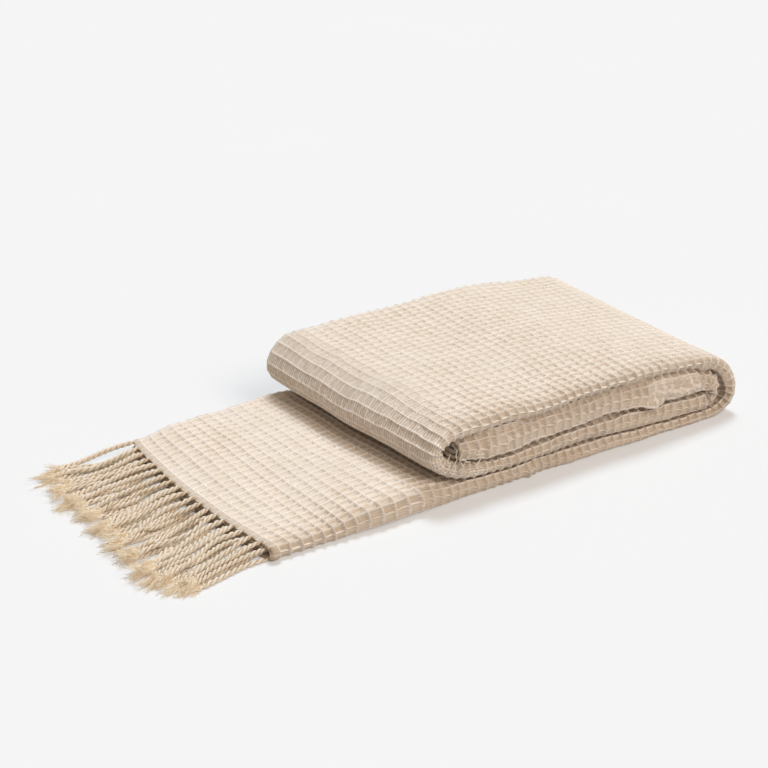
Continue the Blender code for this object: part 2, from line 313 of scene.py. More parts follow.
def section_at(w, depth):
    """Place across the width, height in the layer and outward direction of the cloth's middle.

    Each angle goes from 0 to pi through one of the three folds across the width and stays there after it.
    """
    ply = np.minimum(PLY, depth * PLY_SHARE)
    step = (depth - ply) / 3.0
    half, inner = 1.5 * step, step / 2.0
    reach = np.minimum(half, OUTER_REACH_MAX)
    quarter = math.pi / 4 * (3 * (half + reach) - np.sqrt((3 * half + reach) * (half + 3 * reach)))
    near_angle = np.clip(math.pi * (w + quarter) / (2 * quarter), 0.0, math.pi)
    back_angle = np.clip(math.pi * (w - BACK_FOLD) / BACK_TURN, 0.0, math.pi)
    inner_angle = np.clip(math.pi * (w - INNER_FOLD) / BACK_TURN, 0.0, math.pi)
    y = -WIDTH / 2.0 + ply / 2.0 + reach * (1.0 - np.sin(near_angle))
    y = y + inner * (np.sin(back_angle) - np.sin(inner_angle))
    y = y + np.maximum(-w - quarter, 0.0) + np.clip(w - quarter, 0.0, BACK_FOLD - quarter)
    y = y - np.clip(w - BACK_FOLD - BACK_TURN, 0.0, INNER_RUN) + np.maximum(w - INNER_FOLD - BACK_TURN, 0.0)
    n = half * np.cos(near_angle) + inner * (2.0 - np.cos(back_angle) - np.cos(inner_angle))
    out_y, out_n = -half * np.sin(near_angle), reach * np.cos(near_angle)
    size = np.hypot(out_y, out_n)
    out_y = out_y / size + np.sin(back_angle) + np.sin(inner_angle)
    out_n = out_n / size * np.cos(back_angle) * np.cos(inner_angle)
    return y, n, out_y, out_n, ply


def settle(x, y, z):
    """Shift points of the straight stack to where the settled cloth lies."""
    across = (y + WIDTH / 2.0) / CROWN_RUN
    crown = CROWN * ease(across, 0.0, 1.0) * rise_and_fall(x, *CROWN_X)
    far = ease(y, -WIDTH / 2.0, WIDTH / 2.0)
    fall = TONGUE_FALL * far * (1.0 - ease(x, *CROWN_X[:2]))
    swell = TONGUE_SWELL * far * rise_and_fall(x, *SWELL_X)
    nearness = (WIDTH / 2.0 - y) / WIDTH
    skew = SKEW * nearness * nearness * rise_and_fall(x, *SKEW_X)
    return x + skew, y, z * (1.0 + crown - fall + swell)


STRETCH_S = ALONG[STRETCH_STARTS]
RIGHT_S, TOP_S, LEFT_S, LOWER_S, HAIRPIN_S, UPPER_S = STRETCH_S[2:8]

# Creases listed one by one: their place on the cloth, half sizes, turn and height
CREASES = (
    # s, w, half_s, half_w, turn, height
    (UPPER_S + 0.069, 0.0000, 0.013, 0.0032, -0.62, 0.0072),
    (UPPER_S + 0.053, 0.0008, 0.015, 0.0032, -0.52, 0.0080),
    (UPPER_S + 0.037, -0.0024, 0.017, 0.0034, -0.60, 0.0082),
    (UPPER_S + 0.020, -0.0020, 0.015, 0.0032, -0.50, 0.0068),
    (UPPER_S + 0.061, 0.0005, 0.012, 0.0026, -0.58, -0.0042),
    (UPPER_S + 0.045, -0.0008, 0.014, 0.0026, -0.56, -0.0044),
    (UPPER_S + 0.029, -0.0020, 0.014, 0.0026, -0.55, -0.0042),
    (UPPER_S + 0.084, -0.0110, 0.020, 0.0042, -0.06, 0.0066),
    (UPPER_S + 0.086, -0.0040, 0.012, 0.0024, -0.25, -0.0034),
    (HAIRPIN_S - 0.084, -0.0110, 0.017, 0.0045, 0.00, -0.0030),
    (TOP_S - 0.020, -0.0110, 0.014, 0.0055, 0.00, 0.0055),
    (HAIRPIN_S - 0.060, 0.004, 0.040, 0.0040, 0.08, -0.0020),
    (HAIRPIN_S - 0.150, -0.006, 0.030, 0.0045, -0.15, 0.0022),
    (UPPER_S + 0.180, 0.008, 0.036, 0.0045, 0.20, 0.0024),
    (UPPER_S + 0.260, -0.004, 0.030, 0.0050, -0.25, -0.0024),
    (UPPER_S + 0.330, 0.004, 0.012, 0.0040, 1.20, 0.0036),
    (UPPER_S + 0.352, 0.000, 0.012, 0.0040, 1.35, 0.0040),
    (STRETCH_S[1] + 0.075, 0.002, 0.008, 0.0070, 0.00, 0.0040),
    (STRETCH_S[1] + 0.058, 0.000, 0.006, 0.0060, 0.00, -0.0022),
)
GATHER_START = UPPER_S + 0.005
GATHER_END = UPPER_S + 0.090
GATHER_FADE = 0.020
GATHER_RUN = 0.022
CRUMPLE_RUN = 0.045
CRUMPLE_TOP = 0.45


def crease_height(s, w):
    """Height of the listed creases."""
    height = np.zeros(np.broadcast(s, w).shape)
    for at_s, at_w, half_s, half_w, turn, size in CREASES:
        along = (s - at_s) * math.cos(turn) + (w - at_w) * math.sin(turn)
        across = (w - at_w) * math.cos(turn) - (s - at_s) * math.sin(turn)
        height += size * np.exp(-(along / half_s) ** 2 - (across / half_w) ** 2)
    return height


def gathered_at(s, w):
    """1 where the near edge of the inner arm is gathered into small wrinkles, 0 elsewhere."""
    along = rise_and_fall(s, GATHER_START, GATHER_START + GATHER_FADE, GATHER_END, GATHER_END + GATHER_FADE)
    return along * np.exp(-(w / GATHER_RUN) ** 2)


def crumpled_at(s, w):
    """1 at the near edge of the two inner arms, less at that of the top layer, 0 elsewhere."""
    inner = ease(s, LOWER_S - 0.02, LOWER_S + 0.02)
    return np.maximum(inner, CRUMPLE_TOP) * np.exp(-(w / CRUMPLE_RUN) ** 2)


def outer_cells():
    """Cells counted along the outer side of the folds, for evenly spaced places along the cloth."""
    s = np.linspace(0.0, LENGTH, 4000)
    x, z, depth = path_at(s)
    run_x, run_z = np.gradient(x, s), np.gradient(z, s)
    run = np.hypot(run_x, run_z)
    out_x, out_z = x + run_z / run * depth / 2.0, z - run_x / run * depth / 2.0
    ends = np.append(STRETCH_S, LENGTH)
    at, sizes = [], []
    for stretch, first, last in CELL_SIZES:
        inset = min(CELL_TURN, (ends[stretch + 1] - ends[stretch]) / 3.0)
        at += [ends[stretch] + inset, ends[stretch + 1] - inset]
        sizes += [first, last]
    size = np.interp(s, at, sizes)
    count = np.concatenate(([0.0], np.cumsum(np.hypot(np.diff(out_x), np.diff(out_z)) / size[1:])))
    return s, count - np.interp(HEM_BAND, s, count)


CELL_PLACES, CELL_COUNTS = outer_cells()


def cells_at(s, w):
    """Cell coordinates: whole numbers lie on the ridges."""
    return np.interp(s, CELL_PLACES, CELL_COUNTS), w / CELL_W


def place_of(cell):
    """Place along the cloth of a cell coordinate."""
    return float(np.interp(cell, CELL_COUNTS, CELL_PLACES))


def ridge(distance, width):
    """Height of a ridge, 1 on its line and 0 halfway to the next."""
    return RIDGE_SHARP * np.exp(-(distance / width) ** 2.4) + RIDGE_SOFT * (1.0 - distance) ** 1.15


def pulled_at(s):
    """1 where the left fold is pulled smooth, 0 elsewhere."""
    return rise_and_fall(s, LEFT_S - 0.035, LEFT_S + 0.010, LOWER_S, LOWER_S + 0.03)


def pressed_at(s, w):
    """1 on the side that lies on the floor, about half round the right bend, 0 elsewhere."""
    lip = 0.006 - 0.009 * ease(s, 0.36, 0.44)
    free = 0.5 * ease(s, RIGHT_S - 0.02, RIGHT_S + 0.02) * ease(w, 0.02, 0.05)
    return (1.0 - ease(s, TOP_S - 0.03, TOP_S + 0.01)) * ease(w - lip, 0.0, 0.010) * (1.0 - free)


def relief_at(s, w, ahead):
    """Depth of the waffle below its ridges, as a share of the relief.

    ahead is 1 where s grows with X and -1 where it grows against it.
    """
    u, v = cells_at(s, w)
    rng = np.random.default_rng(SEED)
    level = rng.uniform(*CELL_LEVELS, (LATTICE, LATTICE))
    line_u = rng.uniform(*RIDGE_LEVELS_U, (LATTICE, LATTICE))
    line_v = rng.uniform(*RIDGE_LEVELS_V, (LATTICE, LATTICE))
    i, j = np.round(u).astype(int), np.round(v).astype(int)
    row, column = np.floor(u).astype(int) % LATTICE, np.floor(v).astype(int) % LATTICE
    crumpled, pulled = crumpled_at(s, w), pulled_at(s)
    puffed = 1.0 + CRUMPLED_PUFF * crumpled
    high_u = ridge(2 * np.abs(u - i), RIDGE_WIDTH_U * puffed) * line_u[i % LATTICE, column]
    high_v = ridge(2 * np.abs(v - j), RIDGE_WIDTH_V * puffed) * line_v[row, j % LATTICE]
    high_v = high_v * (1.0 - PULLED_LESS_V * pulled)
    high_v = high_v * (1.0 - EDGE_SLACK * np.exp(-(w / EDGE_SLACK_RUN) ** 2))
    low = (1.0 - np.maximum(high_u, high_v)) * level[row, column]
    lip = rise_and_fall(w * ahead, 0.0, LIP_START, LIP_END, 2 * LIP_END)
    selvedge = ease(-TOP_SELVEDGE - np.abs(w), 0.0, FIRM_BACK_RUN)
    firm = FIRM_FAR + (FIRM_NEAR - FIRM_FAR) * np.exp(-(w / FIRM_RUN) ** 2)
    firm = firm * (1.0 + waves(WANDER_FIRM, s, w)) * (1.0 - PULLED_LESS * pulled)
    firm = firm * (1.0 - PRESSED_LESS * pressed_at(s, w)) * (1.0 + CRUMPLED_MORE * crumpled)
    firm = firm * (1.0 - LIP_SMOOTH * lip) * (FIRM_BACK + (1.0 - FIRM_BACK) * selvedge)
    firm = firm * (1.0 - GATHERED_LESS * gathered_at(s, w))
    return low * firm * ease(s, HEM_BAND - 0.003, HEM_BAND + 0.002)


def hem_bow(y):
    """How far the middle of the hem lies out towards the fringe."""
    share = np.clip(np.abs(y) / (WIDTH / 2.0), 0.0, 1.0)
    return HEM_BOW * (1.0 - share ** 2.5)


def scallop(y):
    """How far the hem draws back between the roots of the topmost ropes."""
    root = FIRST_STRAND_Y + PLY_STRAND_OFFSET[3] * STRAND_PITCH / 4.0
    return SCALLOP * (1.0 - np.cos(2 * math.pi * (y - root) / STRAND_PITCH)) / 2.0


def cloth_points(s, w, side, weight):
    """Points of the outer side of the cloth, where side is 1, or of its inner side.

    weight is 1 where the relief shows and 0 where the cloth is plain.
    """
    crumple = crumpled_at(s, w)
    warp_s = waves(WANDER_S, s, w) + crumple * waves(CRUMPLE_S, s, w)
    warp_w = waves(WANDER_W, s, w) + crumple * waves(CRUMPLE_W, s, w)
    loose = ease(s, 0.0, 0.03)
    s_at = s + warp_s * loose + waves(WANDER_HEM, w, 0 * w) * (1 - loose)
    w_at = w + warp_w * loose
    step = 0.0008
    x, z, depth = path_at(s_at)
    before_x, before_z, _ = path_at(s_at - step)
    after_x, after_z, _ = path_at(s_at + step)
    run_x, run_z = after_x - before_x, after_z - before_z
    run = np.hypot(run_x, run_z)
    run_x, run_z = run_x / run, run_z / run
    y, n, out_y, out_n, ply = section_at(w_at, depth)
    lift = side * ply / 2.0 * (1.0 - HEM_THIN * (1.0 - ease(s, 0.0, HEM_THIN_RUN)))
    under = UNDER_SHARE * ply + NEAR_LOW * np.exp(-(w / NEAR_LOW_RUN) ** 2)
    shape = crease_height(s, w) - crumple * (CRUMPLE_DEPTH + waves(CRUMPLE_LUMPS, s, w))
    if side > 0:
        deep = np.minimum(RELIEF * relief_at(s, w, run_x), ply + PROUD + under - LEAST_PLY)
        lift = lift + (PROUD - deep + shape) * weight
    else:
        lift = lift - under + shape * np.where(np.abs(w) < CREASE_REACH, 1.0, 0.0)
    y = y + out_y * lift
    n = n + out_n * lift
    y = y + np.exp(-(y + WIDTH / 2.0) / EDGE_RUN) * waves(WANDER_EDGE, s, 0 * s)
    x, z = x - run_z * n, z + run_x * n
    x, y, z = settle(x, y, z)
    z = z * (1.0 + waves(WANDER_HEIGHT, x, y))
    x = x + waves(WANDER_X, y, z) * ease(x, 0.0, 0.05)
    x = x - hem_bow(y) * (1.0 - ease(s, 0.0, HEM_BOW_RUN))
    x = x + scallop(y) * (1.0 - ease(s, 0.0, SCALLOP_RUN))
    return np.stack((x + HEM_X, y + HEM_Y, np.maximum(z, FLOOR_CLEARANCE)), axis=-1)


def columns(start, end, marks):
    """Places across the cloth from start to end, set to the ridges by the marks in each cell."""
    first, last = math.floor(start / CELL_W), math.ceil(end / CELL_W)
    places = [(cell + mark) * CELL_W for cell in range(first, last + 1) for mark in marks]
    return [place for place in places if start <= place < end]


def coarse(start, end):
    """Widely spaced places from start up to end."""
    count = max(1, round((end - start) / COARSE_STEP))
    return [start + (end - start) * step / count for step in range(count)]


def turned_in(steps):
    """Widely spaced places from the back fold to the under selvedge, with steps round the inner fold."""
    turn = [INNER_FOLD + BACK_TURN * step / steps for step in range(steps)]
    last = coarse(INNER_FOLD + BACK_TURN, UNDER_SELVEDGE) + [UNDER_SELVEDGE]
    return coarse(BACK_FOLD + BACK_TURN, INNER_FOLD) + turn + last


def cloth_columns(top_marks, under_marks, near_half):
    """Places across the cloth, with whether the relief shows there."""
    places, shown = [], []

    def add(found, show):
        places.extend(found)
        shown.extend([1.0 if show else 0.0] * len(found))

    for start, end, marks in (
        (TOP_SELVEDGE, -near_half, top_marks),
        (-near_half, near_half, FINE),
        (near_half, BACK_FOLD, under_marks),
    ):
        add(columns(start, end, marks) if marks else coarse(start, end), marks)
    if places[0] > TOP_SELVEDGE + 0.0005:
        places.insert(0, TOP_SELVEDGE)
        shown.insert(0, shown[0])
    add(columns(BACK_FOLD, BACK_FOLD + BACK_TURN, MEDIUM), True)
    add(turned_in(4), False)
    return np.array(places), np.array(shown)


def cloth_rows(start, end, marks):
    """Places along the cloth from start to end, set to the ridges."""
    places = [start]
    if start < HEM_BAND:
        places += [HEM_BAND * share for share in (0.15, 0.35, 0.55, 0.75, 0.90)]
    first = math.floor(cells_at(start, 0.0)[0])
    last = math.ceil(cells_at(end, 0.0)[0])
    inner = [place_of(cell + mark) for cell in range(first, last + 1) for mark in marks]
    first_place = max(places[-1], HEM_BAND - 0.0005) + LEAST_STEP
    places += [place for place in inner if first_place < place < end - LEAST_STEP]
    return np.array(places + [end])


def ridge_near(s):
    """The ridge along the cloth that is nearest to s."""
    return place_of(round(float(cells_at(s, 0.0)[0])))


def grid_quads(rows, count, offset, flip):
    """Quads of a grid of rows by count points."""
    i = np.arange(rows - 1)[:, None] * count + np.arange(count - 1)[None, :] + offset
    quads = np.stack((i, i + 1, i + count + 1, i + count), axis=-1).reshape(-1, 4)
    return quads[:, ::-1] if flip else quads


def grid_normals(points):
    """Unit normals of a grid of points."""
    along = np.gradient(points, axis=0)
    across = np.gradient(points, axis=1)
    normal = np.cross(across, along)
    return normal / np.maximum(np.linalg.norm(normal, axis=-1, keepdims=True), 1e-12)


def zip_strip(first, second, first_at, second_at):
    """Triangles between two lines of points with different spacing."""
    faces, i, j = [], 0, 0
    while i < len(first) - 1 or j < len(second) - 1:
        use_first = j == len(second) - 1
        if not use_first and i < len(first) - 1:
            use_first = first_at[i + 1] <= second_at[j + 1]
        if use_first:
            faces.append((first[i], first[i + 1], second[j]))
            i += 1
        else:
            faces.append((first[i], second[j + 1], second[j]))
            j += 1
    return faces


def mesh_piece(name, points, faces, layer_name, uvs, material):
    """Smooth object with one UV place for each point, and the point of every face corner."""
    data = bpy.data.meshes.new(name)
    data.from_pydata(points.tolist(), [], faces)
    data.polygons.foreach_set("use_smooth", np.ones(len(data.polygons), dtype=bool))
    corner = np.zeros(len(data.loops), dtype=np.int32)
    data.loops.foreach_get("vertex_index", corner)
    layer = data.uv_layers.new(name=layer_name)
    layer.data.foreach_set("uv", uvs[corner].ravel())
    data.materials.append(material)
    piece = bpy.data.objects.new(name, data)
    bpy.context.scene.collection.objects.link(piece)
    return piece, corner


def cloth_piece(name, s_start, s_end, top_marks, under_marks, near_half, material):
    """One closed stretch of the folded cloth, with the waffle on its outer side."""
    s = cloth_rows(s_start, s_end, FINE)
    w, shown = cloth_columns(top_marks, under_marks, near_half)
    w_inner = np.array(
        coarse(TOP_SELVEDGE, -0.02) + [-0.02, -0.01, 0.0, 0.01, 0.02] + coarse(0.03, BACK_FOLD)
        + [BACK_FOLD + BACK_TURN * step / 3.0 for step in range(3)] + turned_in(3))
    s_wide = np.concatenate(([s[0] - ROW_MARGIN], s, [s[-1] + ROW_MARGIN]))
    if s_start <= 0.0:
        s_wide[0] = s[0]
    grid_s, grid_w = np.meshgrid(s_wide, w, indexing="ij")
    weight = np.broadcast_to(shown, grid_s.shape)
    outer = cloth_points(grid_s, grid_w, 1.0, weight)
    outer_normals = grid_normals(outer)[1:-1]
    outer = outer[1:-1]
    grid_s, grid_w = np.meshgrid(s, w_inner, indexing="ij")
    inner = cloth_points(grid_s, grid_w, -1.0, 0.0)
    inner_normals = -grid_normals(inner)
    rows, count, count_in = len(s), len(w), len(w_inner)
    start_in = rows * count
    points = np.concatenate((outer.reshape(-1, 3), inner.reshape(-1, 3)))
    quads = np.concatenate((
        grid_quads(rows, count, 0, False),
        grid_quads(rows, count_in, start_in, True),
    ))
    normals = np.concatenate((outer_normals.reshape(-1, 3), inner_normals.reshape(-1, 3)))
    along = np.arange(rows)
    rims = []
    for col_out, col_in, flip in ((0, 0, False), (count - 1, count_in - 1, True)):
        a, b = along * count + col_out, start_in + along * count_in + col_in
        quad = np.stack((a[:-1], a[1:], b[1:], b[:-1]), axis=-1)
        rims += [tuple(q[::-1] if flip else q) for q in quad.tolist()]
    for row, flip in ((0, True), (rows - 1, False)):
        first = (np.arange(count) + row * count).tolist()
        second = (np.arange(count_in) + start_in + row * count_in).tolist()
        rims += [tuple(f[::-1] if flip else f) for f in zip_strip(first, second, w, w_inner)]
    cells = np.concatenate([
        np.stack(cells_at(*np.meshgrid(s, across, indexing="ij")), axis=-1).reshape(-1, 2)
        for across in (w, w_inner)
    ])
    piece, corner = mesh_piece(name, points, quads.tolist() + rims, "cells", cells, material)
    data = piece.data
    corner_normals = normals[corner]
    first_rim = 4 * len(quads)
    flat = np.zeros(3 * len(data.polygons))
    data.polygons.foreach_get("normal", flat)
    sizes = np.zeros(len(data.polygons), dtype=np.int32)
    data.polygons.foreach_get("loop_total", sizes)
    corner_normals[first_rim:] = np.repeat(flat.reshape(-1, 3), sizes, axis=0)[first_rim:]
    data.normals_split_custom_set(corner_normals.tolist())
    return piece


# Fringe
ROPE_POINTS = 30
ROPE_RADIUS = 0.0027
FRAY = 0.021
STRAND_RADIUS = 0.00165
STRAND_OFFSET = 0.00138
TWIST = 0.0150
ROPE_SIDES = 6
ROPE_STEP = 0.0013
RELAX_STEPS = 60
GATHER = 0.48
REST = (0.0026, 0.0029, 0.0072, 0.0082)
DROOP = (0.20, 0.50, 0.72, 0.85)
REACH_SPREAD = (-0.008, 0.007)
TIP_SPREAD = 0.003
BOW = 0.0065
FAR_BOWS = (
    # root_y from which it holds, bow
    (0.134, -0.008),
    (0.150, 0.004),
)
SWAY = 0.0040
SWAY_WAVE = 2.6 * math.pi
HOLD_TIP = 0.05
HOLD_ROOT = 0.25
PUSH = 0.25
SMOOTHING = 0.20
LAY_SPREAD = (0.84, 1.24)
THICK_SPREAD = (0.86, 1.12)
ROOT_RUN = 0.008
LOCKS = 4
LOCK_FIBRES = 13
LOCK_SPREAD = 0.15
LOCK_CURL = 0.0045
LOCK_WAVE = 0.0013
FIBRE_RINGS = 6
FIBRE_RADIUS = 0.00042
FIBRE_LENGTHS = (0.014, 0.026)
FIBRE_SPREAD = 0.055
SEED_RANGE = 10


def rope_roots():
    """Root of every rope on the hem, with its ply."""
    roots = []
    _, _, depth = path_at(np.array([0.0]))
    for ply in range(4):
        offset = PLY_STRAND_OFFSET[ply] * STRAND_PITCH / 4.0
        height = PLY / 2.0 + ply * (float(depth[0]) - PLY) / 3.0
        for index in range(STRANDS_PER_PLY):
            roots.append((0.0015, FIRST_STRAND_Y + offset + STRAND_PITCH * index, height, ply))
    return np.array(roots)


def relaxed_ropes():
    """Middle lines of the ropes, drooping to the floor and parted from each other."""
    rng = np.random.default_rng(SEED + 1)
    roots = rope_roots()
    count = len(roots)
    root_y, ply = roots[:, 1], roots[:, 3].astype(int)
    table = np.array(BUNCHES)[::-1]
    drift = np.interp(root_y, table[:, 0], table[:, 1] - table[:, 0])
    nearest = np.abs(table[None, :, 0] - root_y[:, None]).argmin(axis=1)
    reach = np.interp(root_y, table[:, 0], table[:, 2]) - FRAY + rng.uniform(*REACH_SPREAD, count)
    tip_y = root_y + drift + GATHER * (table[nearest, 0] - root_y)
    tip_y = tip_y + rng.uniform(-TIP_SPREAD, TIP_SPREAD, count)
    share = np.linspace(0.0, 1.0, ROPE_POINTS)[None, :]
    bow = rng.uniform(-BOW, BOW, count)
    for from_y, far_bow in FAR_BOWS:
        bow[root_y > from_y] = far_bow
    arch = np.sin(math.pi * share)
    sway = np.sin(SWAY_WAVE * share + rng.uniform(0, 2 * math.pi, (count, 1)))
    sway = rng.uniform(-SWAY, SWAY, (count, 1)) * sway * ease(share, 0.0, 0.3)
    goal_y = root_y[:, None] + (tip_y - root_y)[:, None] * share ** 1.2 + bow[:, None] * arch + sway
    rest = np.array(REST)[ply][:, None] * rng.uniform(0.9, 1.12, (count, 1))
    droop = np.array(DROOP)[ply][:, None] * rng.uniform(0.9, 1.1, (count, 1))
    goal_z = roots[:, 2][:, None] + (rest - roots[:, 2][:, None]) * ease(share / droop, 0.0, 1.0)
    length = (reach - 0.6 * hem_bow(root_y))[:, None]
    x = (roots[:, 0] - hem_bow(root_y))[:, None] - length * share
    points = np.stack((x, goal_y, goal_z), axis=-1)
    spacing = length / (ROPE_POINTS - 1)
    hold = HOLD_TIP + HOLD_ROOT * (1.0 - ease(share, 0.25, 0.75))
    keep = points[:, :3].copy()
    for _ in range(RELAX_STEPS):
        points[:, :, 2] += hold * (goal_z - points[:, :, 2])
        points[:, :, 1] += hold * (goal_y - points[:, :, 1])
        for shift in (0, 1, 2):
            a = points[:, : ROPE_POINTS - shift]
            b = points[:, shift:]
            gap = a[:, None] - b[None, :]
            far = np.linalg.norm(gap, axis=-1)
            push = np.clip(2 * ROPE_RADIUS - far, 0.0, None)
            push[np.arange(count), np.arange(count)] = 0.0
            move = gap / np.maximum(far, 1e-6)[..., None] * (PUSH * push)[..., None]
            a += move.sum(axis=1)
            b -= move.sum(axis=0)
        for start in (0, 1):
            a, b = points[:, start:-1:2], points[:, start + 1::2]
            size = min(a.shape[1], b.shape[1])
            a, b = a[:, :size], b[:, :size]
            line = b - a
            long = np.linalg.norm(line, axis=-1, keepdims=True)
            fix = line * (1.0 - spacing[..., None] / long) / 2.0
            a += fix
            b -= fix
        smooth = (points[:, :-2] + points[:, 2:]) / 2.0
        points[:, 1:-1] += SMOOTHING * (smooth - points[:, 1:-1])
        points[:, :, 2] = np.maximum(points[:, :, 2], ROPE_RADIUS)
        points[:, :3] = keep
    return points + (HEM_X, HEM_Y, 0.0), roots


def resample(line, step):
    """Even points along a smoothed line."""
    along = np.concatenate(([0.0], np.cumsum(np.linalg.norm(np.diff(line, axis=0), axis=1))))
    at = np.linspace(0.0, along[-1], max(3, int(along[-1] / step)))
    slope = np.gradient(line, along, axis=0)
    i = np.clip(np.searchsorted(along, at, side="right") - 1, 0, len(along) - 2)
    gap = (along[i + 1] - along[i])[:, None]
    u = (at - along[i])[:, None] / gap
    return cubic(u, gap, line[i], line[i + 1], slope[i], slope[i + 1]), at


def frames(line):
    """Direction, sideways and upward unit vectors along a line."""
    ahead = np.gradient(line, axis=0)
    ahead /= np.linalg.norm(ahead, axis=1, keepdims=True)
    side = np.cross(ahead, (0.0, 0.0, 1.0))
    side /= np.maximum(np.linalg.norm(side, axis=1, keepdims=True), 1e-9)
    return ahead, side, np.cross(side, ahead)


class TubeMesh:
    """Collects closed tubes and makes one mesh of them."""

    def __init__(self):
        self.points, self.faces, self.uvs, self.count = [], [], [], 0

    def add(self, line, radii, sides, seed_u, axis=None):
        """Add a tube round a line, with a radius for every point; axis is what it twists round."""
        _, side, up = frames(line)
        angle = 2 * math.pi * np.arange(sides) / sides
        ring = side[:, None] * np.cos(angle)[None, :, None] + up[:, None] * np.sin(angle)[None, :, None]
        points = line[:, None] + ring * radii[:, None, None]
        rows = len(line)
        i = np.arange(rows - 1)[:, None] * sides + np.arange(sides)[None, :]
        j = np.arange(rows - 1)[:, None] * sides + (np.arange(sides)[None, :] + 1) % sides
        quads = np.stack((i, j, j + sides, i + sides), axis=-1).reshape(-1, 4) + self.count
        self.faces += quads.tolist()
        self.faces.append(list(range(self.count + sides - 1, self.count - 1, -1)))
        last = self.count + (rows - 1) * sides
        self.faces.append(list(range(last, last + sides)))
        along = np.concatenate(([0.0], np.cumsum(np.linalg.norm(np.diff(line, axis=0), axis=1))))
        # The second UV value is the distance from the axis, from which the rope material paints shade where
        # strands meet.
        out = np.ones((rows, sides))
        if axis is not None:
            out = np.linalg.norm(points - axis[:, None], axis=-1) / (STRAND_OFFSET + STRAND_RADIUS)
        uv = np.stack(np.broadcast_arrays(along[:, None] + seed_u, out), axis=-1)
        self.uvs.append(uv.reshape(-1, 2))
        self.points.append(points.reshape(-1, 3))
        self.count += rows * sides

    def make(self, name, material):
        """Make the object."""
        points, uvs = np.concatenate(self.points), np.concatenate(self.uvs)
        piece, _ = mesh_piece(name, points, self.faces, "along", uvs, material)
        piece.data.validate()
        return piece


LOOSE_YARNS = (
    # x, z and x, z of the two ends, how far it bows, and y
    (0.2290, 0.0660, 0.2330, 0.0400, -0.0040, -0.1600),
    (0.2360, 0.0690, 0.2300, 0.0450, 0.0050, -0.1620),
    (0.2400, 0.0420, 0.2520, 0.0650, 0.0040, -0.1640),
    (0.2440, 0.0680, 0.2480, 0.0400, -0.0045, -0.1650),
    (0.2540, 0.0460, 0.2400, 0.0580, 0.0040, -0.1660),
    (0.2620, 0.0640, 0.2600, 0.0440, 0.0060, -0.1680),
    (0.2700, 0.0560, 0.2580, 0.0660, -0.0050, -0.1680),
)
LOOSE_RADIUS = 0.00070
LOOSE_POINTS = 18


def loose_yarns(material):
    """Yarns pulled loose at the cut end of the cloth, inside the left fold."""
    rng = np.random.default_rng(SEED + 3)
    made = TubeMesh()
    share = np.linspace(0.0, 1.0, LOOSE_POINTS)
    for x0, z0, x1, z1, bow, y in LOOSE_YARNS:
        arch = np.sin(math.pi * share)
        curl = 0.0010 * np.sin(2 * math.pi * (2.0 * share + rng.uniform(0, 1)))
        line = np.stack((
            x0 + (x1 - x0) * share + bow * arch + curl,
            y + 0.0020 * np.sin(math.pi * share + rng.uniform(-0.5, 0.5)),
            z0 + (z1 - z0) * share + curl * 0.6,
        ), axis=-1)
        line += (HEM_X, HEM_Y, 0.0)
        made.add(line, np.full(LOOSE_POINTS, LOOSE_RADIUS), ROPE_SIDES, rng.uniform(0, SEED_RANGE))
    return made.make("loose_yarns", material)


def add_lock(fray, rng, tip, ahead, size, fan):
    """Add one lock of loose fibres at the tip of a rope."""
    lock = ahead + rng.normal(0.0, LOCK_SPREAD, 3) + np.array((0.0, fan, 0.02))
    curl = rng.normal(0.0, LOCK_CURL, 3)
    sweep = rng.normal(0.0, LOCK_WAVE, 3)
    phase = rng.uniform(0, 2 * math.pi)
    share = np.linspace(0.0, 1.0, FIBRE_RINGS)[:, None]
    for _ in range(LOCK_FIBRES):
        way = lock + rng.normal(0.0, FIBRE_SPREAD, 3)
        way /= np.linalg.norm(way)
        long = size * rng.uniform(*FIBRE_LENGTHS)
        start = tip - ahead * rng.uniform(0.0, 0.006) + rng.normal(0.0, 0.0009, 3)
        points = start + way * long * share + (curl + rng.normal(0.0, 0.0010, 3)) * share ** 2
        wave = np.sin(2 * math.pi * 1.6 * share + phase + rng.uniform(-0.5, 0.5))
        points = points + sweep * wave * share
        points[:, 2] = np.maximum(points[:, 2] - 0.003 * share[:, 0] ** 2, FIBRE_RADIUS * 1.2)
        radii = FIBRE_RADIUS * (1.0 - 0.55 * share[:, 0])
        fray.add(points, radii, 3, rng.uniform(0, SEED_RANGE))


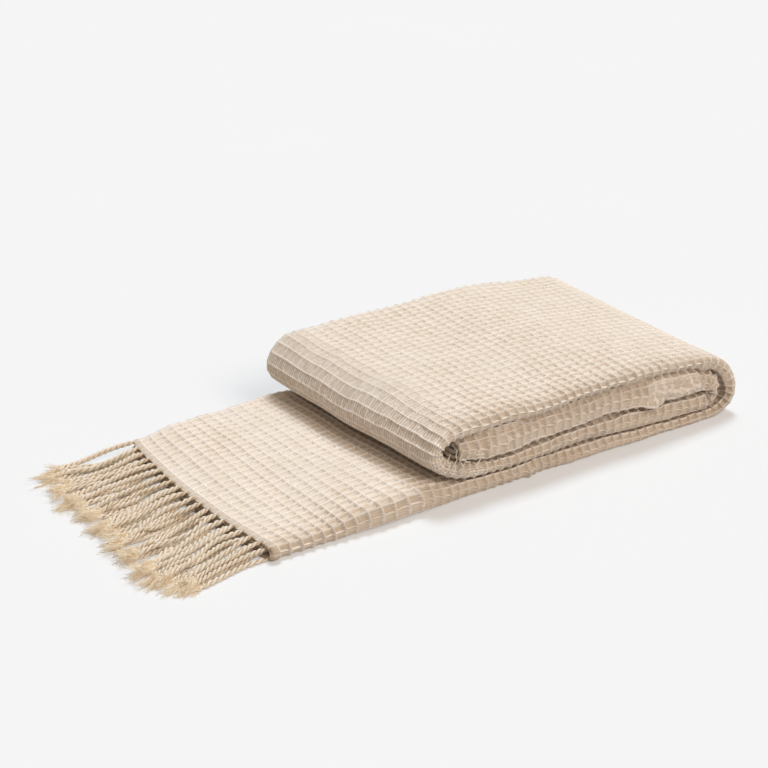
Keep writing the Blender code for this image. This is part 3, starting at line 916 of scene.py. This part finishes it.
def rope_meshes(material, fray_material):
    """Two-strand ropes of the fringe, in two pieces, and the frayed tips."""
    rng = np.random.default_rng(SEED + 2)
    lines, roots = relaxed_ropes()
    upper, lower, fray = TubeMesh(), TubeMesh(), TubeMesh()
    for line, root in zip(lines, roots):
        fine, along = resample(line, ROPE_STEP)
        _, side, up = frames(fine)
        left = along[-1] - along
        from_root = ease(along, 0.0, ROOT_RUN)
        turn = 2 * math.pi * along / (TWIST * rng.uniform(*LAY_SPREAD)) + rng.uniform(0, 2 * math.pi)
        thick = rng.uniform(*THICK_SPREAD)
        offset = STRAND_OFFSET * thick * (1.0 + 0.5 * ease(-left, -0.012, 0.0)) * (0.6 + 0.4 * from_root)
        radii = STRAND_RADIUS * thick * (1.0 - 0.30 * ease(-left, -0.010, 0.0))
        radii = radii * (0.72 + 0.28 * from_root)
        target = upper if root[3] >= 2 else lower
        for half_turn in (0.0, math.pi):
            strand = fine + side * (np.cos(turn + half_turn) * offset)[:, None]
            strand = strand + up * (np.sin(turn + half_turn) * offset)[:, None]
            strand[:, 2] = np.maximum(strand[:, 2], STRAND_RADIUS)
            target.add(strand, radii, ROPE_SIDES, rng.uniform(0, SEED_RANGE), fine)
        ahead = fine[-1] - fine[-6]
        ahead /= np.linalg.norm(ahead)
        ahead[2] *= 0.3
        size = rng.uniform(0.85, 1.12)
        fan = rng.uniform(-0.18, 0.18)
        for _ in range(LOCKS):
            add_lock(fray, rng, fine[-1], ahead, size, fan)
    return [
        upper.make("fringe_upper", material),
        lower.make("fringe_lower", material),
        fray.make("fringe_tips", fray_material),
    ]


# Materials
class Graph:
    """Short way to write a material's nodes."""

    def __init__(self, name):
        self.material = bpy.data.materials.new(name)
        self.material.use_nodes = True
        self.tree = self.material.node_tree
        self.shader = self.tree.nodes["Principled BSDF"]

    def node(self, kind, **values):
        """Add a node."""
        made = self.tree.nodes.new(kind)
        for key, value in values.items():
            setattr(made, key, value)
        return made

    def link(self, source, target):
        """Join an output to an input, or set the input to a number or a colour."""
        if isinstance(source, (int, float)):
            target.default_value = source
        elif isinstance(source, tuple):
            target.default_value = (*source, 1.0)
        else:
            self.tree.links.new(source, target)

    def set(self, name, value):
        """Give the shader's input of this name a value or a link."""
        self.link(value, self.shader.inputs[name])

    def math(self, operation, *inputs):
        """Result of one operation on numbers or outputs."""
        made = self.node("ShaderNodeMath", operation=operation)
        for socket, value in zip(made.inputs, inputs):
            self.link(value, socket)
        return made.outputs[0]

    def times(self, product, *factors):
        """Product of all values."""
        for factor in factors:
            product = self.math("MULTIPLY", product, factor)
        return product

    def plus(self, total, *terms):
        """Sum of all values."""
        for term in terms:
            total = self.math("ADD", total, term)
        return total

    def rest(self, share):
        """What a share leaves of 1."""
        return self.math("SUBTRACT", 1.0, share)

    def lerp(self, share, first, second):
        """Value that goes from first to second as share goes from 0 to 1."""
        return self.plus(self.times(first, self.rest(share)), self.times(second, share))

    def parts(self, vector):
        """X and Y of a vector."""
        split = self.node("ShaderNodeSeparateXYZ")
        self.link(vector, split.inputs[0])
        return split.outputs["X"], split.outputs["Y"]

    def blend(self, value, start, end):
        """Eased share from 0 at start to 1 at end, either way round."""
        made = self.node("ShaderNodeMapRange", interpolation_type="SMOOTHSTEP")
        made.inputs["From Min"].default_value = min(start, end)
        made.inputs["From Max"].default_value = max(start, end)
        self.link(value, made.inputs["Value"])
        return made.outputs[0] if start < end else self.rest(made.outputs[0])

    def noise(self, vector, scale, detail=3.0, rough=0.55):
        """Noise with lumps of 1 / scale."""
        made = self.node("ShaderNodeTexNoise")
        made.inputs["Scale"].default_value = scale
        made.inputs["Detail"].default_value = detail
        made.inputs["Roughness"].default_value = rough
        self.link(vector, made.inputs["Vector"])
        return made.outputs["Fac"]

    def ramp(self, factor, *stops):
        """Colour from rows of a place and a colour."""
        made = self.node("ShaderNodeValToRGB")
        bar = made.color_ramp
        while len(bar.elements) < len(stops):
            bar.elements.new(0.5)
        for element, (place, colour) in zip(bar.elements, stops):
            element.position = place
            element.color = (*colour, 1.0)
        self.link(factor, made.inputs["Fac"])
        return made.outputs["Color"]

    def tint(self, share, colour, tint):
        """Colour multiplied by a tint, as far as share says."""
        made = self.node("ShaderNodeMix", data_type="RGBA", blend_type="MULTIPLY")
        for index, value in ((0, share), (6, colour), (7, tint)):
            self.link(value, made.inputs[index])
        return made.outputs[2]

    def bump(self, height, strength, distance, normal=None):
        """Normal raised by a height."""
        made = self.node("ShaderNodeBump")
        made.inputs["Strength"].default_value = strength
        made.inputs["Distance"].default_value = distance
        self.link(height, made.inputs["Height"])
        if normal is not None:
            self.link(normal, made.inputs["Normal"])
        return made.outputs["Normal"]


WHITE = (1.0, 1.0, 1.0)
FLOOR_COLOUR = (0.810, 0.732, 0.652)
CLOTH_COLOURS_AND_PAINTED_SHADE = (
    # height in the cell, colour; pale ridges, cell floors darker partly by their own tone and partly by
    # painted shade, and the darkest painted shade in a band beside each ridge
    (0.10, FLOOR_COLOUR),
    (0.48, FLOOR_COLOUR),
    (0.70, (0.690, 0.603, 0.512)),
    (0.88, (0.915, 0.848, 0.785)),
)
ROPE_COLOURS_AND_PAINTED_SHADE = (
    # distance from the rope's middle, colour; painted shade darkest where the strands meet
    (0.28, (0.50, 0.36, 0.22)),
    (0.58, (0.75, 0.630, 0.485)),
    (0.88, (0.850, 0.765, 0.655)),
)
TIP_COLOURS = ((0.30, (0.955, 0.865, 0.710)), (0.72, (0.975, 0.915, 0.800)))
STROKE_TINTS = ((0.26, (0.62, 0.51, 0.41)), (0.56, WHITE))
CLOTH_PATCHES = ((0.30, (0.95, 0.93, 0.90)), (0.70, WHITE))
CLOTH_SPECKS = ((0.30, (0.86, 0.84, 0.80)), (0.62, WHITE))
ROPE_PATCHES = ((0.30, (0.90, 0.87, 0.82)), (0.70, WHITE))
ROPE_SPECKS = ((0.30, (0.86, 0.82, 0.78)), (0.65, WHITE))
TIP_SPECKS = ((0.30, (0.92, 0.90, 0.86)), (0.65, WHITE))
SHEEN_TINT = (1.0, 0.88, 0.70)
# Painted light: warm emission colour of the loose fibres at the fringe tips.
PAINTED_GLOW_COLOUR = (1.0, 0.66, 0.36)
BAND_TINT = (0.90, 0.87, 0.83)
# Painted shadow: dark notches along the hem edge, at the rope pitch, at the roots of the ropes.
ROPE_ROOT_SHADOW_TINT = (0.68, 0.58, 0.48)
# Painted shade: hollows on the near folds darkened where shade falls in them, fading out away from the
# fold.
NEAR_PAINTED_SHADE = (0.87, 0.82, 0.765)
NEAR_PAINTED_SHADE_FULL = 0.9
NEAR_PAINTED_SHADE_FADE = 3.2
GATHER_FLAT = 0.65
GATHER_LEVEL = 0.83
U_HEM = float(cells_at(0.0, 0.0)[0])
U_GATHER_START = float(cells_at(GATHER_START, 0.0)[0])
U_GATHER_END = float(cells_at(GATHER_END, 0.0)[0])
U_LEFT = float(cells_at(LEFT_S, 0.0)[0])
U_LOWER = float(cells_at(LOWER_S, 0.0)[0])
STROKES_LONG = 1.4
STROKES_FINE = 5.5
STROKES_ACROSS = 0.40
YARNS_PER_CELL = 3.0
BAND_END = -0.05
BAND_LEVEL = 0.30
BAND_YARNS_U = 9.0
BAND_YARNS_V = 8.0
BEND_FADE_V = 0.10
BEND_STROKES = 0.65
HOLLOW_STROKES = 0.15


def soft_surface(g, rough_from, sheen=0.20, glow=0.0):
    """Matt cotton with a light fuzz; glow is painted light, an emission that stands for the light that
    passes through loose fibres.
    """
    rough = g.ramp(rough_from, (0.2, (0.85, 0.85, 0.85)), (0.8, (0.97, 0.97, 0.97)))
    g.set("Roughness", rough)
    g.set("Sheen Weight", sheen)
    g.set("Sheen Roughness", 0.6)
    g.set("Sheen Tint", SHEEN_TINT)
    g.set("Specular IOR Level", 0.15)
    if glow:
        g.set("Emission Color", PAINTED_GLOW_COLOUR)
        g.set("Emission Strength", glow)


def ridge_share(g, cell):
    """1 on the ridge at a whole cell number, 0 halfway to the next."""
    return g.times(g.math("ABSOLUTE", g.math("SUBTRACT", g.math("FRACT", cell), 0.5)), 2.0)


def strokes_of(g, cells, scale_u, scale_v):
    """Noise stretched along one way of the cells."""
    made = g.node("ShaderNodeVectorMath", operation="MULTIPLY")
    g.link(cells, made.inputs[0])
    made.inputs[1].default_value = (scale_u, scale_v, 1.0)
    return g.noise(made.outputs[0], 1.0, 2.0, 0.5)


def cloth_material():
    """Waffle cotton: pale ridges, hollows darker partly by painted shade, with painted shade beside the
    ridges, on the near folds and at the fringe roots, yarns, fibres and soft sheen.
    """
    g = Graph("waffle_cotton")
    place = g.node("ShaderNodeTexCoord").outputs["Object"]
    cells = g.node("ShaderNodeUVMap", uv_map="cells").outputs["UV"]
    u, v = g.parts(cells)
    to_u, to_v = ridge_share(g, u), ridge_share(g, v)
    across = g.math("ABSOLUTE", v)
    on_band = g.math("LESS_THAN", u, BAND_END)
    in_bend = g.times(g.blend(u, U_LEFT - 3.0, U_LEFT + 0.5), g.blend(u, U_LOWER + 2.0, U_LOWER))
    top = g.math("MAXIMUM", to_u, g.times(to_v, g.rest(g.times(in_bend, BEND_FADE_V))))
    gathered = g.times(
        g.blend(u, U_GATHER_START - 0.6, U_GATHER_START + 0.6),
        g.blend(u, U_GATHER_END + 0.6, U_GATHER_END - 0.6),
        g.blend(across, 2.4, 1.0),
        GATHER_FLAT,
    )
    height = g.math("MAXIMUM", top, g.times(on_band, BAND_LEVEL))
    height = g.lerp(gathered, height, GATHER_LEVEL)
    patch = g.noise(place, 28.0, 4.0)
    fibre = g.noise(place, 1700.0, 3.0, 0.7)
    slub = g.noise(place, 240.0, 3.0, 0.6)
    strokes_long = strokes_of(g, cells, STROKES_LONG, STROKES_FINE)
    strokes_cross = strokes_of(g, cells, STROKES_FINE, STROKES_LONG)
    facing_u = g.math("GREATER_THAN", to_v, to_u)
    phase = g.plus(g.times(v, YARNS_PER_CELL), g.times(strokes_long, 1.6))
    yarns = g.math("ABSOLUTE", g.math("SINE", g.times(phase, math.pi)))
    yarns = g.rest(g.math("POWER", yarns, 0.7))
    floats = g.plus(g.times(strokes_long, 0.55), g.times(yarns, 0.55))
    strokes = g.lerp(g.times(facing_u, STROKES_ACROSS), floats, strokes_cross)
    hollow = g.blend(top, 1.02, 0.72)
    uneven = g.plus(height, g.times(g.plus(slub, -0.5), 0.22))
    stroke_height = g.times(g.plus(g.times(hollow, 0.45), 0.12), g.plus(in_bend, 1.0))
    uneven = g.plus(uneven, g.times(g.plus(strokes, -0.45), stroke_height))
    # Painted shade: colour darkest just beside the ridges and darker in the cell floors, where shade falls
    # in the hollows.
    colour = g.ramp(uneven, *CLOTH_COLOURS_AND_PAINTED_SHADE)
    stroke_share = g.times(hollow, g.plus(g.times(in_bend, BEND_STROKES), HOLLOW_STROKES))
    colour = g.tint(stroke_share, colour, g.ramp(strokes, *STROKE_TINTS))
    # Painted shade in the hollows of the near folds, strongest in the deepest part of each cell.
    near_fold_painted_shade = g.blend(across, NEAR_PAINTED_SHADE_FADE, NEAR_PAINTED_SHADE_FULL)
    near_fold_painted_shade = g.times(near_fold_painted_shade, g.rest(in_bend), g.rest(gathered))
    deep = g.plus(g.times(g.blend(top, 0.92, 0.30), 0.5), 0.5)
    colour = g.tint(g.times(near_fold_painted_shade, deep), colour, NEAR_PAINTED_SHADE)
    colour = g.tint(on_band, colour, BAND_TINT)
    # Painted shadow at the roots of the ropes, along the hem edge.
    rope_root_shadow = g.math("ABSOLUTE", g.math("SINE", g.times(v, math.pi * CELL_W / STRAND_PITCH)))
    rope_root_shadow = g.times(g.math("POWER", rope_root_shadow, 6.0), g.blend(u, U_HEM + 0.32, U_HEM + 0.04))
    colour = g.tint(rope_root_shadow, colour, ROPE_ROOT_SHADOW_TINT)
    colour = g.tint(1.0, colour, g.ramp(patch, *CLOTH_PATCHES))
    colour = g.tint(0.5, colour, g.ramp(fibre, *CLOTH_SPECKS))
    g.set("Base Color", colour)
    weave_u = g.math("SINE", g.times(u, 2 * math.pi * BAND_YARNS_U))
    weave_v = g.math("SINE", g.times(v, 2 * math.pi * BAND_YARNS_V))
    weave = g.times(weave_u, weave_v, on_band, 0.2)
    yarn = g.plus(weave, strokes, g.times(slub, 0.8))
    normal = g.bump(yarn, 1.0, 0.0006)
    normal = g.bump(fibre, 0.50, 0.00025, normal)
    g.set("Normal", normal)
    soft_surface(g, slub)
    return g.material


def rope_material():
    """Twisted cotton yarn of the fringe, with painted shade where its strands meet."""
    g = Graph("fringe_cotton")
    place = g.node("ShaderNodeTexCoord").outputs["Object"]
    along, out = g.parts(g.node("ShaderNodeUVMap", uv_map="along").outputs["UV"])
    patch = g.noise(place, 60.0)
    fibre = g.noise(place, 2200.0, 3.0, 0.7)
    ply = g.math("SINE", g.times(along, 2 * math.pi * 900.0))
    # Painted shade: darker towards the rope's middle, where the two strands meet.
    colour = g.ramp(out, *ROPE_COLOURS_AND_PAINTED_SHADE)
    colour = g.tint(1.0, colour, g.ramp(patch, *ROPE_PATCHES))
    colour = g.tint(0.7, colour, g.ramp(fibre, *ROPE_SPECKS))
    g.set("Base Color", colour)
    normal = g.bump(ply, 0.30, 0.00012)
    normal = g.bump(fibre, 0.50, 0.00022, normal)
    g.set("Normal", normal)
    soft_surface(g, patch)
    return g.material


def fray_material():
    """Untwisted cotton at the tips of the fringe."""
    g = Graph("frayed_cotton")
    place = g.node("ShaderNodeTexCoord").outputs["Object"]
    patch = g.noise(place, 90.0)
    fibre = g.noise(place, 2600.0, 2.0, 0.6)
    colour = g.ramp(patch, *TIP_COLOURS)
    colour = g.tint(0.7, colour, g.ramp(fibre, *TIP_SPECKS))
    g.set("Base Color", colour)
    g.set("Normal", g.bump(fibre, 0.4, 0.0002))
    # The glow is painted light: a warm emission that brightens the loose fibres.
    soft_surface(g, patch, 0.6, 0.09)
    return g.material


def build_throw():
    """All pieces of the throw."""
    cotton = cloth_material()
    seam_a = ridge_near(0.300)
    seam_b = ridge_near(RIGHT_S - 0.004)
    seam_c = ridge_near((TOP_S + LEFT_S) / 2.0)
    seam_d = ridge_near(LOWER_S + 0.030)
    seam_e = ridge_near(HAIRPIN_S + 0.010)
    stretches = (
        ("cloth_tongue", 0.0, seam_a, FINE, MEDIUM, 0.030),
        ("cloth_base", seam_a, seam_b, None, MEDIUM, 0.030),
        ("cloth_right", seam_b, seam_c, None, FINE, 0.052),
        ("cloth_left", seam_c, seam_d, None, FINE, 0.030),
        ("cloth_lower", seam_d, seam_e, None, None, 0.035),
        ("cloth_upper", seam_e, LENGTH, None, None, 0.040),
    )
    for name, start, end, top_marks, under_marks, near_half in stretches:
        piece = cloth_piece(name, start, end, top_marks, under_marks, near_half, cotton)
        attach(piece, "root")
        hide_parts("blanket")
    twisted = rope_material()
    fringe = rope_meshes(twisted, fray_material())
    loose = loose_yarns(twisted)
    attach(loose, "root")
    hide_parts("blanket")
    for piece in fringe:
        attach(piece, "root")
        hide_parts("fringe")


# Camera, light and floor
CAMERA_AZIMUTH = -124.56
CAMERA_ELEVATION = 24.99
CAMERA_DISTANCE = 2.644
CAMERA_TARGET = (0.3536 + HEM_X, 0.1491 + HEM_Y, 0.0)
LENS = 98.52
SENSOR = 36.0
LIGHTS = (
    # name, azimuth, elevation, strength, spread, colour
    ("key", 55.0, 68.0, 1.67, 18.0, (1.0, 1.160, 1.310)),
    ("fill", -82.0, 44.0, 1.40, 30.0, (1.0, 0.90, 0.80)),
)
WORLD_COLOUR = (1.0, 0.865, 0.745)
WORLD_STRENGTH = 0.36
STUDIO_HALF = 9.0
STUDIO_TONES = ((0.3, (0.549, 0.549, 0.549)), (0.7, (0.553, 0.553, 0.553)))
STUDIO_GLOW = 0.276
STUDIO_GLOW_CAST = 0.35


def toward(azimuth, elevation):
    """Unit vector towards a place in the sky, in degrees, with azimuth from +X towards +Y."""
    azimuth, elevation = math.radians(azimuth), math.radians(elevation)
    level = math.cos(elevation)
    return Vector((math.cos(azimuth) * level, math.sin(azimuth) * level, math.sin(elevation)))


def build_camera():
    """Camera as the photograph has it."""
    back = toward(CAMERA_AZIMUTH, CAMERA_ELEVATION)
    data = bpy.data.cameras.new("camera")
    data.sensor_width = SENSOR
    data.lens = LENS
    data.clip_start = 0.1
    data.clip_end = 50.0
    made = bpy.data.objects.new("camera", data)
    place = Matrix.Translation(Vector(CAMERA_TARGET) + back * CAMERA_DISTANCE)
    made.matrix_world = place @ back.to_track_quat("Z", "Y").to_matrix().to_4x4()
    bpy.context.scene.collection.objects.link(made)
    bpy.context.scene.camera = made


def soft_sun(name, azimuth, elevation, strength, spread, colour):
    """Soft light from far away, from where azimuth and elevation say."""
    data = bpy.data.lights.new(name, "SUN")
    data.energy = strength
    data.color = colour
    data.angle = math.radians(spread)
    made = bpy.data.objects.new(name, data)
    made.rotation_euler = toward(azimuth, elevation).to_track_quat("Z", "Y").to_euler()
    bpy.context.scene.collection.objects.link(made)


def build_studio():
    """Pale floor and soft studio light."""
    scene = bpy.context.scene
    corners = [(x * STUDIO_HALF, y * STUDIO_HALF, 0.0) for x, y in ((-1, -1), (1, -1), (1, 1), (-1, 1))]
    data = bpy.data.meshes.new("floor")
    data.from_pydata(corners, [], [(0, 1, 2, 3)])
    floor = bpy.data.objects.new("floor", data)
    scene.collection.objects.link(floor)
    g = Graph("studio_floor")
    place = g.node("ShaderNodeTexCoord").outputs["Object"]
    g.set("Base Color", g.ramp(g.noise(place, 3.0), *STUDIO_TONES))
    g.set("Emission Color", WHITE)
    seen = g.node("ShaderNodeLightPath").outputs["Is Camera Ray"]
    glow = g.times(g.plus(g.times(seen, 1.0 - STUDIO_GLOW_CAST), STUDIO_GLOW_CAST), STUDIO_GLOW)
    g.set("Emission Strength", glow)
    g.set("Roughness", 0.95)
    g.set("Specular IOR Level", 0.0)
    data.materials.append(g.material)
    world = bpy.data.worlds.new("studio")
    world.use_nodes = True
    sky = world.node_tree.nodes["Background"]
    sky.inputs["Color"].default_value = (*WORLD_COLOUR, 1.0)
    sky.inputs["Strength"].default_value = WORLD_STRENGTH
    scene.world = world
    for light in LIGHTS:
        soft_sun(*light)
    scene.view_settings.view_transform = "Standard"
    scene.view_settings.look = "None"
    scene.view_settings.exposure = 0.0
    scene.view_settings.gamma = 1.0


build_throw()
build_studio()
build_camera()
